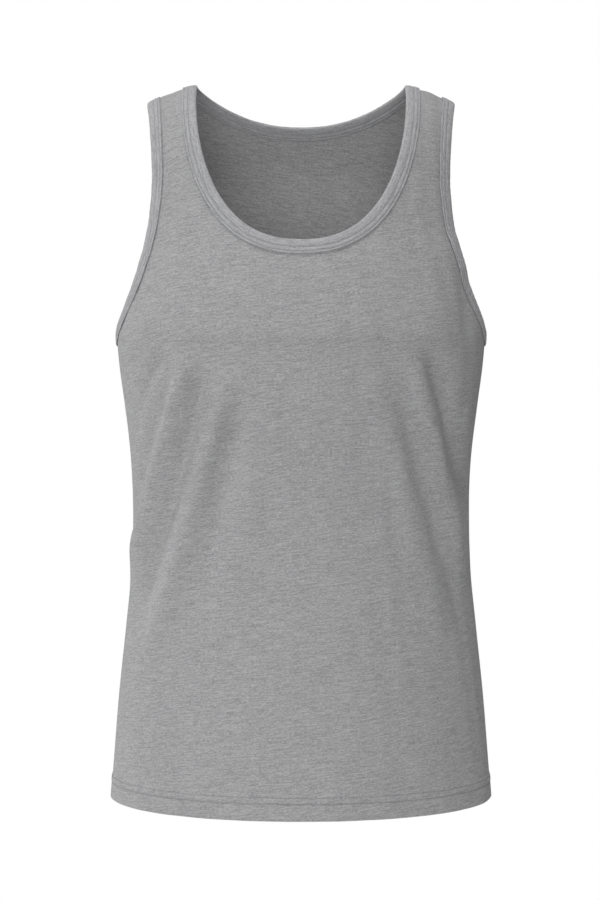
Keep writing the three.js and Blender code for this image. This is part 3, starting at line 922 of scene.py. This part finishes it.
def flat_cut(panel):
    """Width and length of a panel's cut, with its seam allowances and turned-up hem."""
    level = np.linspace(0, SIDE_LENGTH, 200)
    girth = 2 * across(panel, 0, reach_of(level))
    below_arm = girth[level > ARMHOLE_LEVEL].max()
    length = float(hem_reach(panel, QUARTER)) + HEM_DEPTH + CUT_ALLOWANCE
    return (below_arm + 2 * CUT_ALLOWANCE) * MM, length * MM


front = make_panel(FRONT)
back = make_panel(BACK)
for piece, panel in ((front, FRONT), (back, BACK)):
    flat_cut(panel)

# Each band's name, parts, width and the seed of its unevenness
BANDS = (
    ("neck_band", neck_parts(NECK_SECTIONS), NECK_BAND, 21),
    ("armhole_band_left", armhole_parts(ARMHOLE_SECTIONS, False), ARM_BAND, 31),
    ("armhole_band_right", armhole_parts(ARMHOLE_SECTIONS, True), ARM_BAND, 32),
)
for name, parts, width, seed in BANDS:
    band, length = make_band(name, parts, width, seed)
for panel in (FRONT, BACK):
    make_hem_stitches(panel)

# A round pale floor under the garment, below the picture's edge
FLOOR_LEVEL = -1.15
FLOOR_RADIUS = 1.45
stage = bmesh.new()
level_floor = Matrix.Translation((0, 0, FLOOR_LEVEL))
bmesh.ops.create_circle(
    stage, cap_ends=True, segments=96, radius=FLOOR_RADIUS, matrix=level_floor
)
floor_mesh = bpy.data.meshes.new("floor")
stage.to_mesh(floor_mesh)
stage.free()
floor = bpy.data.objects.new("floor", floor_mesh)
bpy.context.scene.collection.objects.link(floor)
paper = bpy.data.materials.new("matte_studio_paper")
paper.use_nodes = True
paper_shader = paper.node_tree.nodes["Principled BSDF"]
paper_shader.inputs["Base Color"].default_value = linear(STUDIO_WHITE)
paper_shader.inputs["Roughness"].default_value = 1.0
floor.data.materials.append(paper)

# Soft light from the front and the picture's left, as the photo's tones show it, and a rear
# light for the views of the back. Places are in metres.
Softbox = namedtuple("Softbox", "name place target width height watts")
SOFTBOXES = (
    Softbox("key", (-0.1, -2.4, -0.2), (0, 0, -0.3), 1.4, 1.5, 26),
    Softbox("left", (-2.2, -0.8, -0.05), (0, 0, -0.35), 0.8, 1.6, 18),
    Softbox("side", (-2.1, 1.1, -0.1), (0, 0, -0.4), 0.8, 1.4, 20),
    Softbox("top", (0, -0.6, 1.8), (0, 0, -0.1), 0.9, 0.9, 28),
    Softbox("low", (0, -1.7, -1.0), (0, 0, -0.1), 0.9, 0.5, 2),
    Softbox("rear", (0.5, 2.2, 0.5), (0, 0, -0.3), 1.4, 1.4, 20),
)
for box in SOFTBOXES:
    light = bpy.data.lights.new(box.name, "AREA")
    light.shape = "RECTANGLE"
    light.size = box.width
    light.size_y = box.height
    light.energy = box.watts
    lamp = bpy.data.objects.new(box.name, light)
    bpy.context.scene.collection.objects.link(lamp)
    lamp.location = box.place
    aim = Vector(box.target) - Vector(box.place)
    lamp.rotation_euler = aim.to_track_quat("-Z", "Y").to_euler()

# The camera sees a white room that lights the garment only a little
ROOM_LIGHT = 0.16
world = bpy.data.worlds.new("studio")
bpy.context.scene.world = world
world.use_nodes = True
sky = world.node_tree.nodes["Background"]
sky.inputs["Color"].default_value = (1, 1, 1, 1)
seen = add_node(world.node_tree, "ShaderNodeLightPath").outputs["Is Camera Ray"]
strength = add_node(
    world.node_tree,
    "ShaderNodeMapRange",
    {"Value": seen, "To Min": ROOM_LIGHT, "To Max": 1.0},
)
world.node_tree.links.new(strength.outputs["Result"], sky.inputs["Strength"])
bpy.context.scene.view_settings.view_transform = "Standard"
